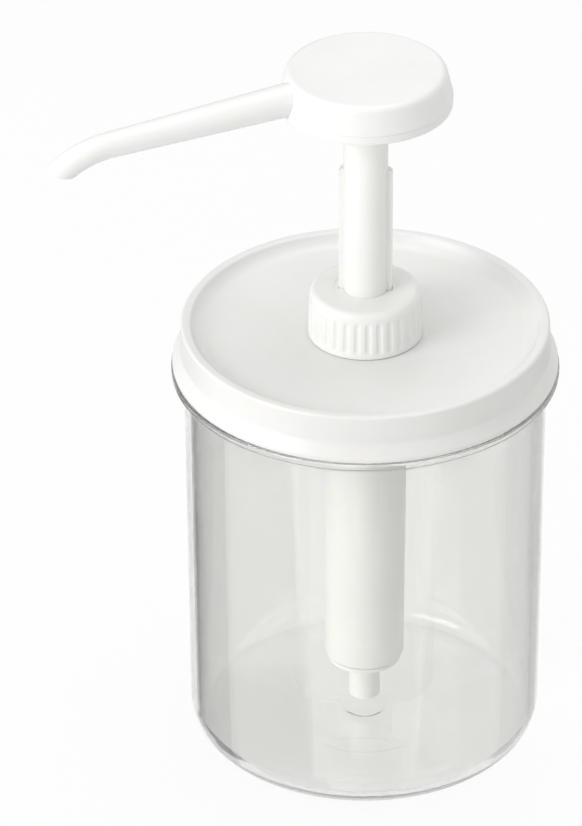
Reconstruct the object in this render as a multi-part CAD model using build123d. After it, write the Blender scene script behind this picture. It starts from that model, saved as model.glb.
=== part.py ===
from build123d import *
import math
import os

# Syrup dispenser: a clear jar, a white lid that presses over its mouth, and a press-down portion
# pump held in the lid's neck by a fluted collar. Millimetres, +Z up, origin at the middle of the
# jar's foot, nozzle along -X.

# Jar: one clear moulding, its wall drafted outwards to a flange and a thinner mouth above it.
JAR_HEIGHT = 130.2
JAR_TOP_R = 56.2
JAR_TAPER = 1.1
JAR_WALL = 2.9
JAR_FLOOR = 2.8
JAR_CORNER_R = 4.5
JAR_INSIDE_CORNER_R = 4.2
FLANGE_OVERHANG = 3.8
FLANGE_T = 3.0
FLANGE_ROUND = 1.0
MOUTH_SETBACK = 1.6
MOUTH_HEADROOM = 2.2
FOOT_RECESS_R = 19.5
FOOT_RECESS_DEPTH = 0.5
GATE_PAD_R = 6.6

# Lid: a raised ring round a shallow dish, with a neck in the middle for the pump.
LID_RISE = 14.6
LID_WALL = 2.0
LID_DRAFT = 0.3
LID_LIP = 2.9
LID_BEAD = 2.05
LID_BEAD_HEIGHT = 5.6
DISH_DEPTH = 3.7
DISH_COVE = 6.4
SEAL_RING_T = 1.5
SEAL_RING_DEPTH = 4.0
SEAL_RING_GAP = 0.4
NECK_WALL = 2.2
NECK_RISE = 9.8

# Collar: the fluted nut over the neck.
COLLAR_WALL = 2.55
COLLAR_TAPER = 0.75
COLLAR_TOP_T = 1.8
COLLAR_SHOULDER = 2.0
COLLAR_BAND = 1.8
COLLAR_FLUTES = 32
FLUTE_R = 1.5
FLUTE_DEPTH = 0.55
COLLAR_HOLE_R = 10.5
COLLAR_FOOT_GAP = 0.3
NECK_THREAD_SPACE = 0.4

# Pump barrel, its gasket, inlet valve and dip tube.
GASKET_T = 1.2
BARREL_BORE_R = 10.9
BARREL_WALL = 2.3
BARREL_TAPER = 0.85
BARREL_FLANGE_T = 1.5
BARREL_FLOOR_T = 2.2
BARREL_CORNER_R = 1.8
BARREL_STEP_INSET = 0.85
BARREL_STEP_T = 1.2
VENT_R = 1.0
INLET_R = 2.6
INLET_BALL_R = 4.0
INLET_BALL_SINK = 2.4
BALL_LIFT = 2.5
SPIGOT_WALL = 1.3
SPIGOT_LENGTH = 9.0
DIP_TUBE_WALL = 1.08
DIP_TUBE_LENGTH = 14.3
DIP_TUBE_FLOOR_GAP = 4.7
CAGE_FLANGE_T = 1.6
CAGE_WALL = 1.6
CAGE_WINDOW = 3.2

# Guide bush: closes the barrel, guides the stem and keys its two ribs.
BUSH_FLANGE_T = 1.5
BUSH_LENGTH = 20.0
BUSH_SKIRT_WALL = 2.0
BUSH_PLATE_DEPTH = 11.6
BUSH_TOP_SINK = 0.1

# Plunger: stem, piston, outlet seat and ball.
STROKE = 62.0
HEAD_GAP = 3.4
STEM_BORE_R = 4.9
STEM_WALL = 1.9
STEM_FOOT_STEP = 0.8
RIB_DEPTH = 1.33
RIB_WIDTH = 2.6
RIB_ANGLE = -24.5
RIB_FREE_LENGTH = 4.9
RIB_TAIL = 6.0
RIB_CHAMFER = 1.0
PISTON_HEIGHT = 15.0
PISTON_WAIST = 1.6
PISTON_LIP = 3.4
OUTLET_SEAT_T = 1.8
OUTLET_SEAT_SETBACK = 1.4
OUTLET_SPIGOT = 6.0
OUTLET_R = 2.3
OUTLET_BALL_R = 3.5
OUTLET_BALL_SINK = 1.9
BALL_STOP_T = 1.4
BALL_STOP_HEIGHT = 3.0

# Return spring.
SPRING_WIRE_R = 0.6
SPRING_SIDE_GAP = 1.7
SPRING_COILS = 11

# Head: the nozzle moulding and the cap that hides its top.
HUB_R = 24.7
HUB_TAPER = 1.4
HUB_SKIRT_STEP = 1.5
HUB_LEDGE_GAP = 0.2
HUB_HEIGHT = 9.2
HUB_WALL = 1.8
HUB_PLATE_T = 1.8
HUB_BOSS_MARGIN = 0.8
HUB_BOSS_SINK = 0.8
HUB_RIBS = 6
HUB_RIB_T = 1.4
HUB_RIB_SINK = 2.2
STEM_PLUG_LENGTH = 12.0
STEM_PLUG_WALL = 1.5
CHANNEL_R = 2.9
CAP_WALL = 1.55
CAP_SKIRT = 5.6
CAP_T = 1.6
CAP_ROUND = 1.4

# Spout: a tapered tube that droops a little and turns down at its end.
SPOUT_AXIS_RISE = 4.9
SPOUT_ROOT_R = 4.65
SPOUT_TAPER = 0.8
SPOUT_WALL = 1.35
SPOUT_LENGTH = 62.0
SPOUT_DROOP = 4.2
SPOUT_BEND_R = 15.0
SPOUT_BEND = 54.0
SPOUT_TIP_ROUND = 0.5

# Clearances, each on the radius or along the axis.
LID_FIT = 0.25
NECK_FIT = 0.3
PRESS_FIT = 0.05
RUNNING_FIT = 0.08
GUIDE_FIT = 0.15
COLLAR_HOLE_FIT = 0.2
CAP_FIT = 0.25
SEAT_FIT = 0.05
STOP_GAP = 0.3

# Radii that pieces share, from the barrel outwards and from the jar's wall outwards.
barrel_top_r = BARREL_BORE_R + BARREL_WALL
barrel_base_r = barrel_top_r - BARREL_TAPER
neck_bore_r = barrel_top_r + NECK_FIT
neck_r = neck_bore_r + NECK_WALL
clamped_r = neck_r - NECK_THREAD_SPACE
stem_r = STEM_BORE_R + STEM_WALL
stem_foot_r = stem_r - STEM_FOOT_STEP
rib_r = stem_r + RIB_DEPTH
jar_inside_top_r = JAR_TOP_R - JAR_WALL
mouth_r = JAR_TOP_R - MOUTH_SETBACK
cap_inside_r = HUB_R + CAP_FIT

# Heights that follow from the stack, from the jar's foot upwards.
rim_z = JAR_HEIGHT + LID_RISE
dish_z = rim_z - DISH_DEPTH
neck_top_z = dish_z + NECK_RISE
gasket_top_z = neck_top_z + GASKET_T
barrel_top_z = gasket_top_z + BARREL_FLANGE_T
bush_flange_z = barrel_top_z + BUSH_FLANGE_T
collar_top_z = bush_flange_z + COLLAR_TOP_T
dip_base_z = JAR_FLOOR + DIP_TUBE_FLOOR_GAP
dip_top_z = dip_base_z + DIP_TUBE_LENGTH
barrel_base_z = dip_top_z + BARREL_STEP_T
barrel_floor_z = barrel_base_z + BARREL_FLOOR_T
bush_base_z = barrel_top_z - BUSH_LENGTH
bush_plate_z = barrel_top_z - BUSH_PLATE_DEPTH
piston_top_z = bush_base_z - STOP_GAP
piston_base_z = piston_top_z - PISTON_HEIGHT
hub_base_z = collar_top_z + STROKE + HEAD_GAP
hub_top_z = hub_base_z + HUB_HEIGHT
stem_top_z = hub_base_z + HUB_BOSS_SINK
spout_z = hub_base_z + SPOUT_AXIS_RISE


def turned(*corners):
    """Turn a closed outline about Z. A corner is (radius, height) or (radius, height, rounding)."""
    face = make_face(Polyline(*[c[:2] for c in corners], close=True))
    for corner in corners:
        if len(corner) == 3:
            vertex = face.vertices().sort_by_distance((corner[0], corner[1], 0))[0]
            face = fillet(vertex, corner[2])
    return revolve(Plane.XZ * face, Axis.Z)


def rod(radius, z_low, z_high):
    """Round bar on the pump's axis between two heights."""
    bar = Cylinder(radius, z_high - z_low, align=(Align.CENTER, Align.CENTER, Align.MIN))
    return Pos(0, 0, z_low) * bar


def tube(outer_r, inner_r, z_low, z_high):
    """Round tube on the pump's axis between two heights."""
    return rod(outer_r, z_low, z_high) - rod(inner_r, z_low, z_high)


def ball(radius, z):
    return Pos(0, 0, z) * Sphere(radius)


# ---------------------------------------------------------------- jar

def make_jar():
    """Clear pot: drafted wall, rounded foot, flange, and the thin mouth that the lid goes over."""
    base_r = JAR_TOP_R - JAR_TAPER
    flange_r = JAR_TOP_R + FLANGE_OVERHANG
    flange_base_z = JAR_HEIGHT - FLANGE_T
    mouth_top_z = rim_z - LID_WALL - MOUTH_HEADROOM
    mouth_round = (mouth_r - jar_inside_top_r) / 3
    pot = turned(
        (0, 0),
        (base_r, 0, JAR_CORNER_R),
        (JAR_TOP_R, flange_base_z, FLANGE_ROUND),
        (flange_r, flange_base_z, FLANGE_ROUND),
        (flange_r, JAR_HEIGHT, FLANGE_ROUND),
        (mouth_r, JAR_HEIGHT),
        (mouth_r, mouth_top_z, mouth_round),
        (jar_inside_top_r, mouth_top_z, mouth_round),
        (base_r - JAR_WALL, JAR_FLOOR, JAR_INSIDE_CORNER_R),
        (0, JAR_FLOOR),
    )
    return pot - tube(FOOT_RECESS_R, GATE_PAD_R, 0, FOOT_RECESS_DEPTH)


# ---------------------------------------------------------------- lid

def make_lid():
    """Press-on lid: bead on the jar's flange, raised ring, coved dish, seal ring and pump neck."""
    wall_inside_r = mouth_r + LID_FIT
    ring_r = wall_inside_r + LID_WALL
    foot_r = ring_r + LID_DRAFT
    bead_r = foot_r + LID_BEAD
    bead_top_z = JAR_HEIGHT + LID_BEAD_HEIGHT
    lip_inside_r = ring_r - LID_LIP
    dish_r = lip_inside_r - DISH_COVE
    dish_under_z = dish_z - LID_WALL
    groove_r = jar_inside_top_r - SEAL_RING_GAP
    groove_top_z = rim_z - LID_WALL
    seal_inner_r = groove_r - SEAL_RING_T
    shell = turned(
        (0, dish_z),
        (dish_r, dish_z, DISH_COVE / 2),
        (lip_inside_r, rim_z, LID_LIP / 4),
        (ring_r, rim_z, LID_LIP / 3),
        (foot_r, bead_top_z, LID_BEAD / 4),
        (bead_r, bead_top_z, LID_BEAD * 2 / 3),
        (bead_r, JAR_HEIGHT, LID_BEAD / 4),
        (wall_inside_r, JAR_HEIGHT),
        (wall_inside_r, groove_top_z, LID_WALL / 4),
        (groove_r, groove_top_z - DISH_DEPTH / 4, LID_WALL / 4),
        (groove_r, dish_under_z - SEAL_RING_DEPTH, SEAL_RING_T / 4),
        (seal_inner_r, dish_under_z - SEAL_RING_DEPTH, SEAL_RING_T / 4),
        (seal_inner_r, dish_under_z, SEAL_RING_T / 2),
        (0, dish_under_z),
    )
    neck = turned(
        (0, dish_under_z),
        (neck_r, dish_under_z),
        (neck_r, neck_top_z, LID_WALL / 4),
        (0, neck_top_z),
    )
    return shell + neck - rod(neck_bore_r, dish_under_z, neck_top_z)


# ---------------------------------------------------------------- collar and what it clamps

def make_collar():
    """Nut with vertical flutes, a plain band at its foot and a round hole for the guide bush."""
    base_z = dish_z + COLLAR_FOOT_GAP
    inside_r = neck_r + NECK_THREAD_SPACE
    base_r = inside_r + COLLAR_WALL
    top_r = base_r - COLLAR_TAPER
    shoulder_z = collar_top_z - COLLAR_SHOULDER
    nut = turned(
        (inside_r, base_z),
        (base_r, base_z, COLLAR_FOOT_GAP),
        (top_r, collar_top_z, COLLAR_SHOULDER),
        (COLLAR_HOLE_R, collar_top_z, COLLAR_TOP_T / 4),
        (COLLAR_HOLE_R, bush_flange_z),
        (inside_r, bush_flange_z),
    )
    flute_base_z = base_z + COLLAR_BAND
    flute_length = shoulder_z - flute_base_z
    lean = math.degrees(math.atan2(COLLAR_TAPER, collar_top_z - base_z))
    flute = Rot(0, -lean, 0) * Cylinder(FLUTE_R, flute_length)
    flute_axis_r = (base_r + top_r) / 2 + FLUTE_R - FLUTE_DEPTH
    middle_z = (flute_base_z + shoulder_z) / 2
    for copy in range(COLLAR_FLUTES):
        turn = Rot(0, 0, copy * 360 / COLLAR_FLUTES)
        nut -= turn * Pos(flute_axis_r, 0, middle_z) * flute
    return nut


def make_neck_gasket():
    """Flat soft ring between the neck and the barrel's flange."""
    return tube(neck_r, neck_bore_r, neck_top_z, gasket_top_z)


def make_guide_bush():
    """Slotted guide in the barrel's mouth, its flange clamped under the collar."""
    skirt_r = BARREL_BORE_R - GUIDE_FIT
    body = turned(
        (0, bush_base_z),
        (skirt_r, bush_base_z, BUSH_SKIRT_WALL / 4),
        (skirt_r, barrel_top_z),
        (clamped_r, barrel_top_z),
        (clamped_r, bush_flange_z),
        (COLLAR_HOLE_R - COLLAR_HOLE_FIT, bush_flange_z),
        (COLLAR_HOLE_R - COLLAR_HOLE_FIT, collar_top_z - BUSH_TOP_SINK, COLLAR_TOP_T / 6),
        (0, collar_top_z - BUSH_TOP_SINK),
    )
    body -= rod(stem_r + RUNNING_FIT, bush_base_z, collar_top_z)
    body -= rod(skirt_r - BUSH_SKIRT_WALL, bush_base_z, bush_plate_z)
    slot_length = 2 * (rib_r + GUIDE_FIT)
    slot_height = collar_top_z - bush_base_z
    slot = Box(slot_length, RIB_WIDTH + 2 * GUIDE_FIT, slot_height)
    return body - Rot(0, 0, RIB_ANGLE) * Pos(0, 0, bush_base_z + slot_height / 2) * slot


# ---------------------------------------------------------------- pump barrel and inlet

inlet_ball_z = barrel_floor_z - INLET_BALL_SINK + INLET_BALL_R
spigot_r = INLET_R + SPIGOT_WALL
dip_bore_r = spigot_r + PRESS_FIT


def make_cylinder():
    """Barrel with a clamped flange, rounded foot, stepped base, inlet seat, spigot and air vent."""
    barrel = turned(
        (0, barrel_base_z),
        (barrel_base_r, barrel_base_z, BARREL_CORNER_R),
        (barrel_top_r, gasket_top_z),
        (clamped_r, gasket_top_z),
        (clamped_r, barrel_top_z),
        (0, barrel_top_z),
    )
    barrel -= rod(BARREL_BORE_R, barrel_floor_z, barrel_top_z)
    barrel += rod(barrel_base_r - BARREL_STEP_INSET, dip_top_z, barrel_base_z)
    barrel += rod(spigot_r, dip_top_z - SPIGOT_LENGTH, barrel_base_z)
    barrel -= rod(INLET_R, dip_top_z - SPIGOT_LENGTH, barrel_floor_z)
    barrel -= ball(INLET_BALL_R + SEAT_FIT, inlet_ball_z)
    vent = Rot(0, 90, 0) * Cylinder(VENT_R, barrel_top_r, align=(Align.CENTER, Align.CENTER, Align.MIN))
    return barrel - Pos(0, 0, piston_base_z + PISTON_HEIGHT / 2) * vent


def make_dip_tube():
    """Short inlet tube pushed over the barrel's spigot."""
    return tube(dip_bore_r + DIP_TUBE_WALL, dip_bore_r, dip_base_z, dip_top_z)


def make_valve_cage():
    """Cage that keeps the inlet ball over its seat; its flange carries the spring."""
    inside_r = INLET_BALL_R + STOP_GAP
    outside_r = inside_r + CAGE_WALL
    roof_z = inlet_ball_z + INLET_BALL_R + BALL_LIFT
    cage = turned(
        (0, barrel_floor_z),
        (BARREL_BORE_R - STOP_GAP, barrel_floor_z),
        (BARREL_BORE_R - STOP_GAP, barrel_floor_z + CAGE_FLANGE_T, CAGE_FLANGE_T / 4),
        (outside_r, barrel_floor_z + CAGE_FLANGE_T),
        (outside_r, roof_z + CAGE_WALL, CAGE_WALL),
        (0, roof_z + CAGE_WALL),
    )
    cage -= rod(inside_r, barrel_floor_z, roof_z)
    window_low_z = barrel_floor_z + CAGE_FLANGE_T
    window_height = roof_z + CAGE_WALL - window_low_z
    window = Box(2 * outside_r, CAGE_WINDOW, window_height, align=(Align.CENTER, Align.CENTER, Align.MIN))
    for turn in (0, 90):
        cage -= Rot(0, 0, turn) * Pos(0, 0, window_low_z) * window
    return cage + rod(inside_r + CAGE_WALL / 2, roof_z, roof_z + CAGE_WALL / 2)


def make_inlet_ball():
    return ball(INLET_BALL_R, inlet_ball_z)


# ---------------------------------------------------------------- plunger

outlet_seat_z = piston_base_z - OUTLET_SEAT_T
outlet_ball_z = piston_base_z + OUTLET_SPIGOT - OUTLET_BALL_SINK + OUTLET_BALL_R


def make_spring():
    """Return spring between the cage's flange and the outlet seat."""
    low_z = barrel_floor_z + CAGE_FLANGE_T + SPRING_WIRE_R
    high_z = outlet_seat_z - SPRING_WIRE_R
    pitch = (high_z - low_z) / SPRING_COILS
    coil_r = BARREL_BORE_R - SPRING_SIDE_GAP - SPRING_WIRE_R
    path = Pos(0, 0, low_z) * Helix(pitch, high_z - low_z, coil_r)
    wire = Plane(path @ 0, z_dir=path % 0) * Circle(SPRING_WIRE_R)
    return sweep(wire, path=path, is_frenet=True)


def make_stem():
    """Hollow stem: thinner foot for the piston, two guide ribs, and a cross bar over the ball."""
    stem = turned(
        (STEM_BORE_R, piston_base_z),
        (stem_foot_r, piston_base_z),
        (stem_foot_r, piston_top_z),
        (stem_r, piston_top_z, PRESS_FIT),
        (stem_r, stem_top_z),
        (STEM_BORE_R, stem_top_z),
    )
    rib_base_z = bush_plate_z - RIB_TAIL
    rib_height = bush_plate_z + STROKE - RIB_FREE_LENGTH - rib_base_z
    middle_r = STEM_BORE_R + STEM_WALL / 2
    rib = Box(rib_r - middle_r, RIB_WIDTH, rib_height, align=(Align.MIN, Align.CENTER, Align.MIN))
    outer_ends = rib.edges().filter_by(Axis.Y).group_by(Axis.X)[-1]
    rib = chamfer(outer_ends, RIB_CHAMFER)
    for turn in (RIB_ANGLE, RIB_ANGLE + 180):
        stem += Rot(0, 0, turn) * Pos(middle_r, 0, rib_base_z) * rib
    stop_z = outlet_ball_z + OUTLET_BALL_R + BALL_LIFT
    bar = Box(2 * middle_r, BALL_STOP_T, BALL_STOP_HEIGHT, align=(Align.CENTER, Align.CENTER, Align.MIN))
    for turn in (0, 90):
        stem += Rot(0, 0, turn) * Pos(0, 0, stop_z) * bar
    return stem


def make_piston():
    """Sliding piston with a lip at each end that wipes the barrel."""
    lip_r = BARREL_BORE_R - RUNNING_FIT
    waist_r = BARREL_BORE_R - PISTON_WAIST
    return turned(
        (stem_foot_r + PRESS_FIT, piston_base_z),
        (lip_r, piston_base_z),
        (lip_r, piston_base_z + PISTON_LIP / 2),
        (waist_r, piston_base_z + PISTON_LIP),
        (waist_r, piston_top_z - PISTON_LIP),
        (lip_r, piston_top_z - PISTON_LIP / 2),
        (lip_r, piston_top_z),
        (stem_foot_r + PRESS_FIT, piston_top_z),
    )


def make_outlet_seat():
    """Seat pushed into the stem's foot; its flange holds the piston on and takes the spring."""
    flange_r = BARREL_BORE_R - OUTLET_SEAT_SETBACK
    seat = turned(
        (OUTLET_R, outlet_seat_z),
        (flange_r, outlet_seat_z, OUTLET_SEAT_T / 4),
        (flange_r, piston_base_z),
        (STEM_BORE_R - PRESS_FIT, piston_base_z),
        (STEM_BORE_R - PRESS_FIT, piston_base_z + OUTLET_SPIGOT),
        (OUTLET_R, piston_base_z + OUTLET_SPIGOT),
    )
    return seat - ball(OUTLET_BALL_R + SEAT_FIT, outlet_ball_z)


def make_outlet_ball():
    return ball(OUTLET_BALL_R, outlet_ball_z)


# ---------------------------------------------------------------- head and spout

droop = math.radians(SPOUT_DROOP)


def spout_solid(root_r, overrun):
    """Tapered bar from the hub's wall outwards, then a bend; overrun lengthens the bend's arc."""
    end_r = root_r - SPOUT_TAPER
    start_x = HUB_WALL - HUB_R
    start = Vector(start_x, 0, spout_z)
    along = Vector(-math.cos(droop), 0, -math.sin(droop))
    down = Vector(math.sin(droop), 0, -math.cos(droop))
    length = SPOUT_LENGTH + HUB_WALL
    bend_start = start + along * length
    straight = Cone(root_r, end_r, length, align=(Align.CENTER, Align.CENTER, Align.MIN))
    solid = Plane(origin=start, z_dir=along) * straight
    pivot = Axis(bend_start + down * SPOUT_BEND_R, (0, -1, 0))
    section = Plane(origin=bend_start, z_dir=along) * Circle(end_r)
    return solid + revolve(section, pivot, revolution_arc=SPOUT_BEND + overrun)


def make_nozzle():
    """Head moulding: skirted hub on ribs, plug for the stem, cross channel and hollow spout."""
    plate_z = hub_top_z - HUB_PLATE_T
    ledge_z = hub_top_z - CAP_SKIRT - HUB_LEDGE_GAP
    skirt_r = HUB_R + HUB_SKIRT_STEP
    top_r = HUB_R - HUB_TAPER
    outside = turned(
        (0, hub_base_z),
        (skirt_r, hub_base_z, HUB_WALL / 3),
        (skirt_r, ledge_z, HUB_SKIRT_STEP / 4),
        (HUB_R, ledge_z),
        (top_r, hub_top_z, HUB_WALL / 4),
        (0, hub_top_z),
    )
    hollow = turned(
        (0, hub_base_z),
        (skirt_r - HUB_WALL, hub_base_z),
        (skirt_r - HUB_WALL, ledge_z - HUB_WALL),
        (HUB_R - HUB_WALL, ledge_z - HUB_WALL),
        (top_r - HUB_WALL, plate_z, HUB_WALL / 2),
        (0, plate_z),
    )
    rib_z = hub_base_z + HUB_RIB_SINK
    rib = Box(HUB_R, HUB_RIB_T, hub_top_z - rib_z, align=(Align.MIN, Align.CENTER, Align.MIN))
    for copy in range(HUB_RIBS):
        angle = copy * 360 / HUB_RIBS
        if angle != 180:
            hollow -= Rot(0, 0, angle) * Pos(0, 0, rib_z) * rib
    block_size = (HUB_R, 2 * (CHANNEL_R + HUB_WALL), hub_top_z - stem_top_z)
    hollow -= Pos(0, 0, stem_top_z) * Box(*block_size, align=(Align.MAX, Align.CENTER, Align.MIN))
    hollow -= rod(stem_r + HUB_BOSS_MARGIN, stem_top_z, hub_top_z)
    hub = outside - hollow
    plug_base_z = stem_top_z - STEM_PLUG_LENGTH
    hub += rod(STEM_BORE_R - PRESS_FIT, plug_base_z, plate_z)
    hub += spout_solid(SPOUT_ROOT_R, 0)
    tip = hub.edges().filter_by(GeomType.CIRCLE).sort_by(Axis.X)[0]
    hub = fillet(tip, SPOUT_TIP_ROUND)
    hub -= rod(STEM_BORE_R - PRESS_FIT - STEM_PLUG_WALL, plug_base_z, spout_z)
    channel = Cylinder(CHANNEL_R, HUB_R, align=(Align.CENTER, Align.CENTER, Align.MIN))
    hub -= Pos(0, 0, spout_z) * Rot(0, -90, 0) * channel
    return hub - spout_solid(SPOUT_ROOT_R - SPOUT_WALL, 1)


def make_head_cap():
    """Snap-on cap over the hub, following its taper and notched over the spout."""
    skirt_z = hub_top_z - CAP_SKIRT
    outside_r = cap_inside_r + CAP_WALL
    top_r = outside_r - HUB_TAPER * (CAP_SKIRT + CAP_T) / CAP_SKIRT
    cap = turned(
        (0, hub_top_z),
        (cap_inside_r - HUB_TAPER, hub_top_z),
        (cap_inside_r, skirt_z),
        (outside_r, skirt_z, CAP_WALL / 4),
        (top_r, hub_top_z + CAP_T, CAP_ROUND),
        (0, hub_top_z + CAP_T),
    )
    notch = Cylinder(SPOUT_ROOT_R + CAP_FIT, outside_r, align=(Align.CENTER, Align.CENTER, Align.MIN))
    return cap - Pos(HUB_WALL - HUB_R, 0, spout_z) * Rot(0, -90, 0) * notch


MAKERS = {
    "jar": make_jar,
    "lid": make_lid,
    "collar": make_collar,
    "neck_gasket": make_neck_gasket,
    "guide_bush": make_guide_bush,
    "cylinder": make_cylinder,
    "dip_tube": make_dip_tube,
    "valve_cage": make_valve_cage,
    "inlet_ball": make_inlet_ball,
    "spring": make_spring,
    "stem": make_stem,
    "piston": make_piston,
    "outlet_seat": make_outlet_seat,
    "outlet_ball": make_outlet_ball,
    "nozzle": make_nozzle,
    "head_cap": make_head_cap,
}

for name, maker in MAKERS.items():
    export_step(maker(), f"parts/{name}.step")
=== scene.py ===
import math
import bpy
import numpy as np
from mathutils import Matrix, Vector


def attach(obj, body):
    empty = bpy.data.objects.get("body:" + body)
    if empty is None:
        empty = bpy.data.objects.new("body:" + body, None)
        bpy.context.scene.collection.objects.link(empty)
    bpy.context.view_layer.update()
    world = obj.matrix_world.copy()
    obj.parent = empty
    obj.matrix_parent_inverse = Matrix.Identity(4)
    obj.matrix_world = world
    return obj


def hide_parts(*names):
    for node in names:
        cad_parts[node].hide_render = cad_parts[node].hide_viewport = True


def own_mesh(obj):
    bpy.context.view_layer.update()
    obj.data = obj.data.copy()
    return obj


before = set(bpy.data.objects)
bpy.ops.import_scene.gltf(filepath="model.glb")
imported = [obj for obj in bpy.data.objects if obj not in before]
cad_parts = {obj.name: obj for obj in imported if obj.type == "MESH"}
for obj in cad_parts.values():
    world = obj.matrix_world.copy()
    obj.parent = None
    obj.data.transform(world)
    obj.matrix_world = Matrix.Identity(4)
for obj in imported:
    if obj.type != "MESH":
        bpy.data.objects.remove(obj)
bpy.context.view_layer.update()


# ---------------------------------------------------------------- camera
# A long lens, well back from the counter and looking down on the lid. The part's spout runs along
# -X, so the camera's heading puts it to the left of the view and a little towards the viewer.

long_side_px = 826
lens_px = 6081.7
sensor_mm = 36.0
camera_place = (-0.54723, -1.50351, 1.11600)
heading = math.radians(-19.1756)
look_down = 0.560749
roll = -0.004567

camera = bpy.data.cameras.new("camera")
camera.sensor_width = sensor_mm
camera.lens = lens_px * sensor_mm / long_side_px
camera.clip_end = 20.0
camera_object = bpy.data.objects.new("camera", camera)
bpy.context.scene.collection.objects.link(camera_object)
camera_object.matrix_world = (
    Matrix.Translation(camera_place)
    @ Matrix.Rotation(heading, 4, "Z")
    @ Matrix.Rotation(math.pi / 2 - look_down, 4, "X")
    @ Matrix.Rotation(roll, 4, "Z")
)
bpy.context.scene.camera = camera_object
bpy.context.scene.view_settings.view_transform = "Standard"


# ---------------------------------------------------------------- counter, room and lamps
# A matt white counter in a white room, with a broad soft lamp at the front left and one above.
# The counter and the room show as white paper; the counter still takes the part's soft shadow.

class Wire:
    """A socket used as a number. Arithmetic on wires adds Math nodes to the same finish."""

    def __init__(self, finish, socket):
        self.finish = finish
        self.socket = socket

    def maths(self, operation, other):
        """A Math node with this wire first and other, a wire or a number, second."""
        return self.finish.node("ShaderNodeMath", {"operation": operation}, {0: self, 1: other})

    def __add__(self, other):
        return self.maths("ADD", other)

    def __mul__(self, other):
        return self.maths("MULTIPLY", other)

    def __pow__(self, other):
        return self.maths("POWER", other)

    def above(self, low, high):
        """0 below low, 1 above high, and a straight ramp between them."""
        inputs = {"Value": self, "From Min": low, "From Max": high}
        return self.finish.node("ShaderNodeMapRange", {"clamp": True}, inputs)


class Finish:
    """One material's or world's node tree while it is being written."""

    def __init__(self, owner):
        owner.use_nodes = True
        self.owner = owner
        self.tree = owner.node_tree
        self.tree.nodes.clear()

    def node(self, kind, settings=None, inputs=None, output=0):
        """Add a node: its settings first, then values or wires into its sockets. Returns an output."""
        made = self.tree.nodes.new(kind)
        for name, value in (settings or {}).items():
            setattr(made, name, value)
        for name, value in (inputs or {}).items():
            if isinstance(value, Wire):
                self.tree.links.new(value.socket, made.inputs[name])
            else:
                made.inputs[name].default_value = value
        return Wire(self, made.outputs[output])

    def mixed(self, share, low, high):
        """The colour low where share is 0 and high where it is 1."""
        settings = {"data_type": "RGBA"}
        return self.node("ShaderNodeMix", settings, {0: share, 6: low, 7: high}, 2)

    def mixed_shaders(self, share, first, second):
        """The shader first where share is 0 and second where it is 1."""
        return self.node("ShaderNodeMixShader", None, {0: share, 1: first, 2: second})

    def show(self, shader, kind="ShaderNodeOutputMaterial"):
        """Wire the shader to the output, and return the finished material or world."""
        self.tree.links.new(shader.socket, self.tree.nodes.new(kind).inputs["Surface"])
        return self.owner


def seen_directly(finish):
    """1 for rays from the camera, mirrored or passed through clear plastic, and 0 for the rest."""
    path = [finish.node("ShaderNodeLightPath", output=name)
            for name in ("Is Camera Ray", "Is Glossy Ray", "Is Transmission Ray")]
    return (path[0] + path[1] + path[2]).above(0.0, 1.0)


room_shade = (1.0, 1.0, 0.97, 1.0)
room_strength = 0.66
paper_white = (1.0, 1.0, 1.0, 1.0)
room = Finish(bpy.data.worlds.new("white_room"))
soft = room.node("ShaderNodeBackground", None, {"Color": room_shade, "Strength": room_strength})
paper = room.node("ShaderNodeBackground", None, {"Color": paper_white, "Strength": 1.0})
bpy.context.scene.world = room.show(
    room.mixed_shaders(seen_directly(room), soft, paper), "ShaderNodeOutputWorld")


def sheet(name, corners, material):
    """A flat sheet of the set. Corners in metres: right, away and up, as the camera stands."""
    mesh = bpy.data.meshes.new(name)
    turn = Matrix.Rotation(heading, 3, "Z")
    mesh.from_pydata([turn @ Vector(corner) for corner in corners], [], [range(len(corners))])
    mesh.materials.append(material)
    made = bpy.data.objects.new(name, mesh)
    bpy.context.scene.collection.objects.link(made)
    return made


counter_shade = (0.9, 0.9, 0.9, 1.0)
counter_plain_share = 0.88
counter_reach = 3.0
counter_top = -0.0002
laminate = Finish(bpy.data.materials.new("white_counter"))
matt = laminate.node("ShaderNodeBsdfDiffuse", None, {"Color": counter_shade})
lift = laminate.node("ShaderNodeEmission", None, {"Color": paper_white, "Strength": 1.0})
white_counter = laminate.show(laminate.mixed_shaders(
    seen_directly(laminate) * counter_plain_share, matt, lift))
sheet("counter", [
    (x * counter_reach, y * counter_reach, counter_top)
    for x, y in ((-1, -1), (1, -1), (1, 1), (-1, 1))], white_counter)


def reflection_board(name, shade, corners):
    """A grey board that only gloss and clear plastic see. It glows at a fixed grey and lights nothing,
    so it paints dark reflections into their edges.
    """
    board = Finish(bpy.data.materials.new(name))
    grey = (shade, shade, shade, 1.0)
    # Painted reflection: a fixed grey glow that the jar and the white plastics mirror as darker bands.
    painted_reflection_grey = board.node("ShaderNodeEmission", None, {"Color": grey, "Strength": 1.0})
    made = sheet(name, corners, board.show(painted_reflection_grey))
    made.visible_camera = False
    made.visible_diffuse = False
    made.visible_shadow = False
    made.visible_volume_scatter = False


# The side boards lie on the counter and start just outside the jar's foot. The back board stands up.
# Each paints a dark reflection into the jar and the white plastics.
flag_height = -0.0001
reflection_board("left_reflection_board", 0.22, [(x, y, flag_height) for x, y in (
    (-0.0416, -0.0366), (-0.0528, -0.0171), (-0.184, 0.212), (-0.276, 0.212), (-0.276, 0.016))])
reflection_board("right_reflection_board", 0.6, [(x, y, flag_height) for x, y in (
    (0.276, 0.016), (0.276, 0.212), (0.138, 0.212), (0.0528, -0.0171), (0.0416, -0.0366))])
back_flag_away = 0.28
reflection_board("back_reflection_board", 0.25, [(x, back_flag_away, z) for x, z in (
    (-0.45, 0.18), (-0.02, 0.18), (-0.02, 0.75), (-0.45, 0.75))])


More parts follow.
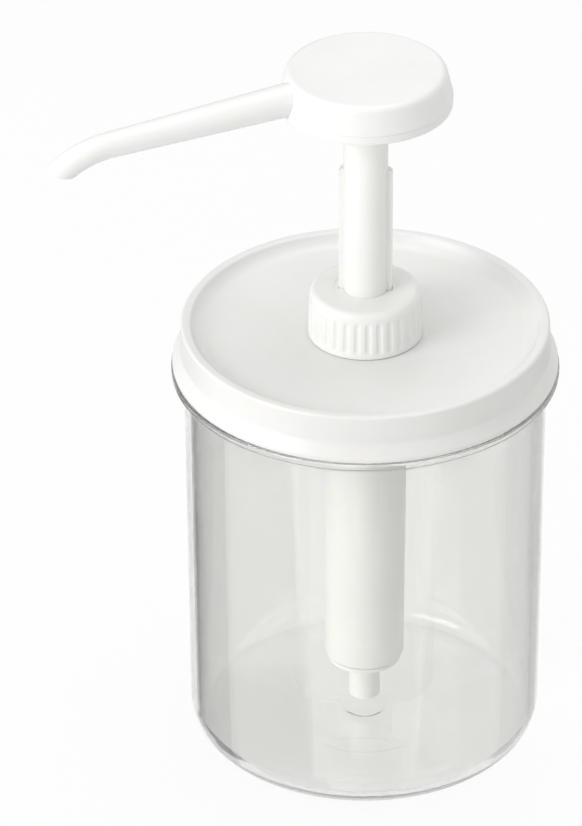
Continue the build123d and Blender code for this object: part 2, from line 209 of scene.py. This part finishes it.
def lamp(name, place, size, power, shade):
    """A square soft lamp at place, in metres with the camera's heading as +Y, aimed at the lid."""
    light = bpy.data.lights.new(name, "AREA")
    light.shape = "SQUARE"
    light.size = size
    light.energy = power
    light.color = shade
    made = bpy.data.objects.new(name, light)
    bpy.context.scene.collection.objects.link(made)
    spot = (Matrix.Rotation(heading, 4, "Z") @ Matrix.Translation(place)).translation
    lid_top = Vector((0, 0, 0.13))
    aim = (lid_top - spot).to_track_quat("-Z", "Y")
    made.matrix_world = Matrix.Translation(spot) @ aim.to_matrix().to_4x4()


lamp("front_left_lamp", place=(-1.25, -0.85, 0.85), size=0.9, power=12.9, shade=(1.0, 1.0, 0.99))
lamp("top_lamp", place=(0.1, 0.2, 1.6), size=0.8, power=5.0, shade=(1.0, 1.0, 1.0))


# ---------------------------------------------------------------- clear jar
# One injection moulding in clear styrene: a drafted pot with a rounded foot, a flange that the lid
# rests on and a thin mouth above it. Faint flow ripples, slightly smoky in its thickness.

def rounded_outline(corners, closed, flank=0.2, steps=9):
    """Corners (radius, height, rounding) in mm, joined by straight runs. Each corner becomes an arc
    that starts rounding times tan(turn / 2) before it and swings about its own centre; a point on
    each run, flank or a third of the run from the arc, keeps the run's shading flat. An open outline
    keeps its ends."""
    radius, height, rounding = np.array(corners, dtype=float).T
    place = radius + 1j * height
    after = np.roll(place, -1) - place
    after /= np.abs(after)
    before = np.roll(after, 1)
    turn = np.angle(after / before)
    side = 1j * np.sign(turn) * before * rounding
    start = place - before * rounding * np.tan(np.abs(turn) / 2)
    swing = np.exp(1j * turn[:, None] * np.linspace(0, 1, steps))
    arcs = (start + side)[:, None] - side[:, None] * swing
    end = arcs[:, -1]
    flank_before = np.minimum(flank, np.abs(start - np.roll(end, 1)) / 3)
    flank_after = np.roll(flank_before, -1)
    rows = np.column_stack((start - before * flank_before, arcs, end + after * flank_after))
    if closed:
        return rows.ravel()
    return np.concatenate((place[:1], rows[1:-1].ravel(), place[-1:]))


def turned(outline, around, closed, offset=0.0):
    """The outline (radius + i height, mm) carried round the pump's axis: x and y are radius plus
    offset, times the cosine and sine of the angle. An open outline's ends are poles on the axis."""
    angle = np.linspace(0, 2 * np.pi, around, endpoint=False)
    ring = (outline if closed else outline[1:-1])[:, None]
    reach = ring.real + offset
    height = np.broadcast_to(ring.imag, (len(ring), around))
    points = np.stack((reach * np.cos(angle), reach * np.sin(angle), height), axis=-1)
    ends = [(0, 0, end.imag) for end in (outline[0], outline[-1])]
    return skinned(points, None if closed else ends)


def skinned(points, ends):
    """Faces over a grid of points whose columns close round. Its last row meets its first, or, where
    ends gives two points, each end row fans to its own point. Returns points and blocks of faces."""
    rows, around = points.shape[:2]
    index = np.arange(rows * around).reshape(rows, around)
    if ends is None:
        index = np.concatenate((index, index[:1]))
    ahead = np.roll(index, -1, axis=1)
    blocks = [np.stack((index[:-1], ahead[:-1], ahead[1:], index[1:]), axis=-1).reshape(-1, 4)]
    points = points.reshape(-1, 3)
    if ends is not None:
        first = np.full(around, len(points))
        blocks.append(np.stack((first, ahead[0], index[0]), axis=-1))
        blocks.append(np.stack((first + 1, index[-1], ahead[-1]), axis=-1))
        points = np.concatenate((points, ends))
    return points, blocks


def moulding(name, material, *shells):
    """One piece of closed shells, each given as points in mm and blocks of faces."""
    sharp_from = math.radians(35)
    faces = []
    count = 0
    for points, blocks in shells:
        for block in blocks:
            faces += (block + count).tolist()
        count += len(points)
    mesh = bpy.data.meshes.new(name)
    mesh.from_pydata((np.concatenate([points for points, _ in shells]) / 1000).tolist(), [], faces)
    mesh.shade_smooth()
    mesh.set_sharp_from_angle(angle=sharp_from)
    mesh.materials.append(material)
    piece = bpy.data.objects.new(name, mesh)
    bpy.context.scene.collection.objects.link(piece)
    return piece


clear = Finish(bpy.data.materials.new("clear_styrene"))
place = clear.node("ShaderNodeTexCoord", output="Object")
swell = clear.node("ShaderNodeTexNoise", None, {"Vector": place, "Scale": 14.0, "Detail": 1.0})
rubs = clear.node("ShaderNodeTexNoise", None, {"Vector": place, "Scale": 160.0, "Detail": 4.0})
polish = 0.015
rubbed = 0.05
gloss = rubs.above(0.55, 0.8) * rubbed + polish
ripple = clear.node("ShaderNodeBump", None, {"Height": swell, "Strength": 0.04, "Distance": 0.002})
tint = clear.mixed(swell, (0.915, 0.918, 0.905, 1.0), (0.93, 0.932, 0.92, 1.0))
styrene_ior = 1.57
body = clear.node("ShaderNodeBsdfPrincipled", None, {
    "Base Color": tint, "Roughness": gloss, "IOR": styrene_ior, "Transmission Weight": 1.0,
    "Normal": ripple})
smoky = (0.94, 0.942, 0.922, 1.0)
passing = clear.node("ShaderNodeBsdfTransparent", None, {"Color": smoky})
shadow = clear.node("ShaderNodeLightPath", output="Is Shadow Ray")
straight_through = 0.12
clear_styrene = clear.show(clear.mixed_shaders(
    (shadow + straight_through).above(0.0, 1.0), body, passing))

# From the middle of the underside: gate pad, recess, foot, wall, flange and mouth, then back down
# the inside to the floor, which has a low ring and a shallow well in its middle.
jar_outline = rounded_outline((
    (0, 0, 0), (5.6, 0, 1.5), (6.6, 0.1, 1.5), (17.6, 0.1, 6.0), (21.4, 0, 6.0),
    (51.59, 0, 3.25), (53.91, 2.3, 6.8), (55.25, 6.3, 12.8), (56.1, 127.4, 1.0), (60.0, 127.4, 1.0),
    (60.0, 130.35, 1.0), (54.6, 130.35, 0.3), (54.6, 140.8, 0.45), (53.2, 140.8, 0.45),
    (52.35, 7.05, 9.5), (51.56, 4.35, 4.55), (50.19, 2.8, 1.72),
    (8.0, 2.8, 0.6), (7.3, 2.92, 0.3), (6.9, 2.92, 0.3), (6.2, 2.8, 0.6), (5.4, 2.8, 0.5),
    (5.0, 2.72, 0.5), (0, 2.72, 0)), closed=False)
jar_around = 384
jar_angle = np.linspace(0, 2 * np.pi, jar_around, endpoint=False)
# Three waves round the inside, each with its size, its count and its start.
waves = ((1.0, 5, 0.4), (0.7, 11, 2.0), (0.5, 23, 0.0))
flow = sum(size * np.cos(count * jar_angle + start) for size, count, start in waves)
flow_depth = 0.03
flow_starts = 12
inside_from = 52.0
inside_to = 53.5
jar_radius = jar_outline.real
inner_wall = (jar_radius < inside_to) & (jar_radius > inside_from) & (jar_outline.imag > flow_starts)
ripples = inner_wall[1:-1, None] * flow * flow_depth
jar_shell = turned(jar_outline, jar_around, closed=False, offset=ripples)
jar = moulding("clear_jar", clear_styrene, jar_shell)
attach(jar, "jar")
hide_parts("jar")


# ---------------------------------------------------------------- lid
# One white polypropylene moulding that presses over the jar's mouth: a bead that flares out to the
# flange, a raised ring, a shallow dish with a cove round it, and the neck that carries the pump.

def white_moulding(name, shade, grain, gloss):
    """White plastic: a faint cloudiness, a fine moulded grain, and painted shade that darkens it where
    seen edge-on.
    """
    cloud_share = 0.965
    cloud_roughness = 0.10
    edge_shade_share = 0.80
    edge_shade_power = 5.0
    plastic_ior = 1.49
    finish = Finish(bpy.data.materials.new(name))
    place = finish.node("ShaderNodeTexCoord", output="Object")
    cloud = finish.node("ShaderNodeTexNoise", None, {"Vector": place, "Scale": 30.0, "Detail": 3.0})
    fine = finish.node("ShaderNodeTexNoise", None, {"Vector": place, "Scale": 2600.0, "Detail": 2.0})
    dull = tuple(c * cloud_share for c in shade) + (1.0,)
    # Painted shade: where the surface is seen edge-on, its colour is darkened in place of dull
    # reflections there.
    facing = finish.node("ShaderNodeLayerWeight", None, {"Blend": 0.5}, "Facing")
    edge = tuple(c * edge_shade_share for c in shade) + (1.0,)
    flat = finish.mixed(cloud.above(0.35, 0.65), dull, shade + (1.0,))
    colour = finish.mixed(facing ** edge_shade_power, flat, edge)
    skin = finish.node("ShaderNodeBump", None, {
        "Height": fine, "Strength": grain, "Distance": 0.00008})
    body = finish.node("ShaderNodeBsdfPrincipled", None, {
        "Base Color": colour, "Roughness": cloud * cloud_roughness + gloss, "IOR": plastic_ior,
        "Subsurface Weight": 0.12, "Subsurface Scale": 0.0015, "Normal": skin})
    return finish.show(body)


lid_white = white_moulding("lid_white", (0.83, 0.83, 0.825), grain=0.15, gloss=0.30)
lid_around = 288
# From the neck's bore: underside, seal ring, mouth groove and skirt, then the flared bead, the raised
# ring, the dish and the neck's outside.
lid_outline = rounded_outline((
    (13.5, 139.1, 0.3), (51.4, 139.1, 0.8), (51.4, 135.1, 0.4), (52.9, 135.1, 0.4),
    (52.9, 142.1, 0.5), (54.85, 143.0, 0.5), (54.85, 136.2, 1.2), (57.6, 131.8, 0.5),
    (57.6, 130.4, 0.15), (59.6, 130.4, 0.6), (59.6, 131.8, 1.6), (57.15, 136.0, 2.45),
    (56.85, 145.0, 0.97), (53.95, 145.0, 0.97), (52.33, 141.1, 5.2), (15.7, 141.1, 0.5),
    (15.7, 150.9, 0.5), (13.5, 150.9, 0.3)), closed=True)
lid = moulding("press_on_lid", lid_white, turned(lid_outline, lid_around, closed=True))
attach(lid, "lid")
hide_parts("lid")


# ---------------------------------------------------------------- collar
# A white moulded nut, screwed down on the lid's neck. Its wall leans in, with rounded flutes for
# the fingers above a plain foot, and its top's thin inner lip hides the guide bush's edge.

def divided(outline, step):
    """The same closed outline with points added, so that no run is longer than step."""
    ahead = np.roll(outline, -1) - outline
    parts = np.ceil(np.abs(ahead) / step).astype(int)
    corner = np.repeat(np.arange(len(outline)), parts)
    part = np.arange(len(corner)) - np.repeat(np.cumsum(parts) - parts, parts)
    return outline[corner] + ahead[corner] * part / parts[corner]


def fluting(outline, angle, count, mean_radius, radius, depth):
    """How far each point of the outline is drawn in at each angle. Across a flute, within radius of
    its middle as measured along the wall, it follows a circle of that radius, depth at its deepest;
    beyond that it is nothing. Up the wall it fades in and out over fade at the band's two ends."""
    band_low = 143.2
    band_high = 153.6
    fade = 0.6
    outside_from = 16
    pitch = 2 * np.pi / count
    aside = (angle % pitch - pitch / 2) * mean_radius
    within = np.abs(aside) < radius
    scoop = np.sqrt(radius ** 2 - aside ** 2 * within) - radius + depth
    scoop = np.where(within, np.maximum(scoop, 0), 0)
    height = outline.imag
    band = np.clip((height - band_low) / fade, 0, 1) * np.clip((band_high - height) / fade, 0, 1)
    band = band * (outline.real > outside_from)
    return band[:, None] * scoop


longest_run = 0.6
collar_outline = divided(rounded_outline((
    (14.3, 155.1, 0.3), (14.3, 141.25, 0.3), (17.85, 141.25, 0.5), (17.1, 156.9, 2.3),
    (9.9, 156.9, 0.03), (9.9, 156.83, 0.02), (10.35, 156.83, 0.02), (10.35, 155.1, 0.3)),
    closed=True), longest_run)
flutes = 32
collar_around = flutes * 18
collar_angle = np.linspace(0, 2 * np.pi, collar_around, endpoint=False)
drawn_in = fluting(collar_outline, collar_angle, flutes, mean_radius=17.5, radius=1.5, depth=0.42)
pump_white = white_moulding("pump_white", (0.93, 0.93, 0.915), grain=0.12, gloss=0.26)
collar_shell = turned(collar_outline, collar_around, closed=True, offset=-drawn_in)
collar = moulding("screw_collar", pump_white, collar_shell)
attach(collar, "collar")
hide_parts("collar")


# ---------------------------------------------------------------- pump
# White mouldings of the pump: the guide bush, the barrel and its tube, and the stem, with milky
# inner pieces. Each is CAD's own piece with its finish laid on.

natural = white_moulding("natural_plastic", (0.80, 0.80, 0.76), grain=0.1, gloss=0.38)
for names, material in (
    (("guide_bush", "cylinder", "dip_tube", "stem"), pump_white),
    (("valve_cage", "piston", "outlet_seat", "neck_gasket"), natural),
):
    for name in names:
        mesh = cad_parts[name].data
        mesh.materials.clear()
        mesh.materials.append(material)


# ---------------------------------------------------------------- head
# Two white mouldings on top of the stem. The lower one is a skirted hub with a plug for the stem,
# ribs, and the hollow spout; the cap snaps over its top and its skirt ends on the hub's ledge.

def stretch(radius, back, share, run):
    """Rows of the spout's surface: radius, distance short of the cut, and shares of arc and straight."""
    return np.column_stack(np.broadcast_arrays(radius, back, share, run))


def spout(root, fall, straight, radii, bend_radius, bend, lean, wall, around=72):
    """A round bar along a line that falls at an angle from root, and then along an arc. On the bar, a
    point at an angle round it lies at bend_radius plus radius times cosine from the arc's middle.
    The end is cut flat, square to the arc's direction lean past its highest point; the cut meets each
    line of the bar at lean's angle less an arc sine. Its edges are rounded by a quarter of the wall.
    Then the bore runs back to the root."""
    angle = np.linspace(0, 2 * np.pi, around, endpoint=False)
    root_radius, end_radius = radii
    bore = end_radius - wall
    edge = wall / 4
    along = np.linspace(0, 1, 30)
    curve = np.linspace(0, 1, 25)[1:-1]
    lip = np.linspace(0, np.pi / 2, 7)
    rows = np.concatenate((
        stretch(root_radius + (end_radius - root_radius) * along, edge, 0, along),
        stretch(end_radius, edge, curve, 1),
        stretch(end_radius - edge * (1 - np.cos(lip)), edge * (1 - np.sin(lip)), 1, 1),
        stretch(bore + edge * (1 - np.sin(lip)), edge * (1 - np.cos(lip)), 1, 1),
        stretch(bore, edge, curve[::-1], 1),
        stretch(bore, edge, 0, along[::-1])))
    radius, back, share, run = rows.T[:, :, None]
    cut = (bend_radius + end_radius) * np.sin(lean) + back
    distance = bend_radius + radius * np.cos(angle)
    swing = share * (bend + lean - np.arcsin(cut / distance))
    forward = run * straight + distance * np.sin(swing)
    sunk = bend_radius - distance * np.cos(swing)
    across = radius * np.sin(angle)
    points = np.stack((root[0] - forward * np.cos(fall) + sunk * np.sin(fall), across,
                       root[1] - forward * np.sin(fall) - sunk * np.cos(fall)), axis=-1)
    middle = points.mean(axis=1)
    return skinned(points, [middle[0], middle[-1]])


def bar(reach, width, bottom, top, angle):
    """A straight bar that stands out from the pump's axis, between two radii and two heights."""
    across = (-width / 2, width / 2)
    corner = np.array([(x, y, z) for z in (bottom, top) for y in across for x in reach])
    cosine = np.cos(angle)
    sine = np.sin(angle)
    turn = np.array(((cosine, sine, 0), (-sine, cosine, 0), (0, 0, 1)))
    sides = np.array((
        (0, 2, 3, 1), (4, 5, 7, 6), (0, 1, 5, 4), (3, 2, 6, 7), (0, 4, 6, 2), (1, 3, 7, 5)))
    return corner @ turn, [sides]


head_white = white_moulding("head_white", (0.905, 0.905, 0.90), grain=0.3, gloss=0.30)
head_around = 288
# From the plug's foot: plug, boss, underside of the plate, skirt and ledge, then up to the top.
hub_outline = rounded_outline((
    (0, 211.1, 0), (4.85, 211.1, 0.3), (4.85, 223.1, 0.2), (7.6, 223.1, 0.3), (7.6, 229.6, 0.6),
    (21.1, 229.6, 0.9), (22.8, 222.7, 0.3), (24.4, 222.5, 0.3), (24.4, 221.45, 0.3),
    (26.2, 221.45, 0.5), (26.2, 224.3, 0.15), (24.6, 224.3, 0.1), (22.9, 231.4, 0.4), (0, 231.4, 0)),
    closed=False)
hub = turned(hub_outline, head_around, closed=False)
# Five ribs stand round the boss. The channel takes the sixth place, towards the spout.
inside_plate = 230.0
rib_angles = [math.radians(degrees) for degrees in (0, 60, 120, 240, 300)]
hub_ribs = [
    bar(reach=(7.0, 23.0), width=1.4, bottom=223.6, top=inside_plate, angle=angle)
    for angle in rib_angles]
channel = bar(reach=(4.6, 22.8), width=9.4, bottom=223.1, top=inside_plate, angle=math.pi)
spout_tube = spout(
    root=(-22.8, 227.4), fall=math.radians(4.9), straight=58.3, radii=(5.2, 4.0), bend_radius=28.6,
    bend=math.radians(39.5), lean=math.radians(27.0), wall=1.35)
nozzle = moulding("spout_head", head_white, hub, *hub_ribs, channel, spout_tube)
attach(nozzle, "plunger")
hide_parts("nozzle")

cap_outline = rounded_outline((
    (0, 231.5, 0), (23.1, 231.5, 0.3), (24.85, 224.35, 0.1), (26.4, 224.35, 0.2), (24.25, 233.1, 2.2),
    (0, 233.1, 0)), closed=False)
head_cap = moulding("snap_cap", head_white, turned(cap_outline, head_around, closed=False))
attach(head_cap, "plunger")
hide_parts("head_cap")


# ---------------------------------------------------------------- spring and balls
# Drawn stainless wire coiled between the valve cage and the stem's foot, and the two polished balls
# of the inlet and outlet valves.

steel = Finish(bpy.data.materials.new("drawn_steel"))
place = steel.node("ShaderNodeTexCoord", output="Object")
lines = steel.node("ShaderNodeTexNoise", None, {"Vector": place, "Scale": 900.0, "Detail": 2.0})
steel_roughness = 0.18
line_roughness = 0.15
body = steel.node("ShaderNodeBsdfPrincipled", None, {
    "Base Color": steel.mixed(lines, (0.58, 0.59, 0.60, 1.0), (0.66, 0.67, 0.68, 1.0)),
    "Metallic": 1.0, "Roughness": lines * line_roughness + steel_roughness})
drawn_steel = steel.show(body)
for name in ("inlet_ball", "outlet_ball"):
    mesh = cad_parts[name].data
    mesh.materials.clear()
    mesh.materials.append(drawn_steel)


def coil(radius, wire, low, high, turns, around=12, steps=48):
    """A round section of radius wire, carried along a helix whose angle and height grow evenly. Each
    section stands across the helix's circle, from the radius outwards and downwards."""
    share = np.linspace(0, 1, turns * steps + 1)[:, None]
    angle = 2 * np.pi * turns * share
    section = np.linspace(0, 2 * np.pi, around, endpoint=False)
    reach = radius + wire * np.cos(section)
    points = np.stack((reach * np.cos(angle), reach * np.sin(angle),
                       low + (high - low) * share - wire * np.sin(section)), axis=-1)
    middle = points.mean(axis=1)
    return skinned(points, [middle[0], middle[-1]])


spring_low = 27.45
spring_high = 115.85
spring_wire = coil(radius=8.6, wire=0.6, low=spring_low, high=spring_high, turns=11)
spring = moulding("return_spring", drawn_steel, spring_wire)
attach(spring, "lid")
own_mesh(spring)
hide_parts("spring")
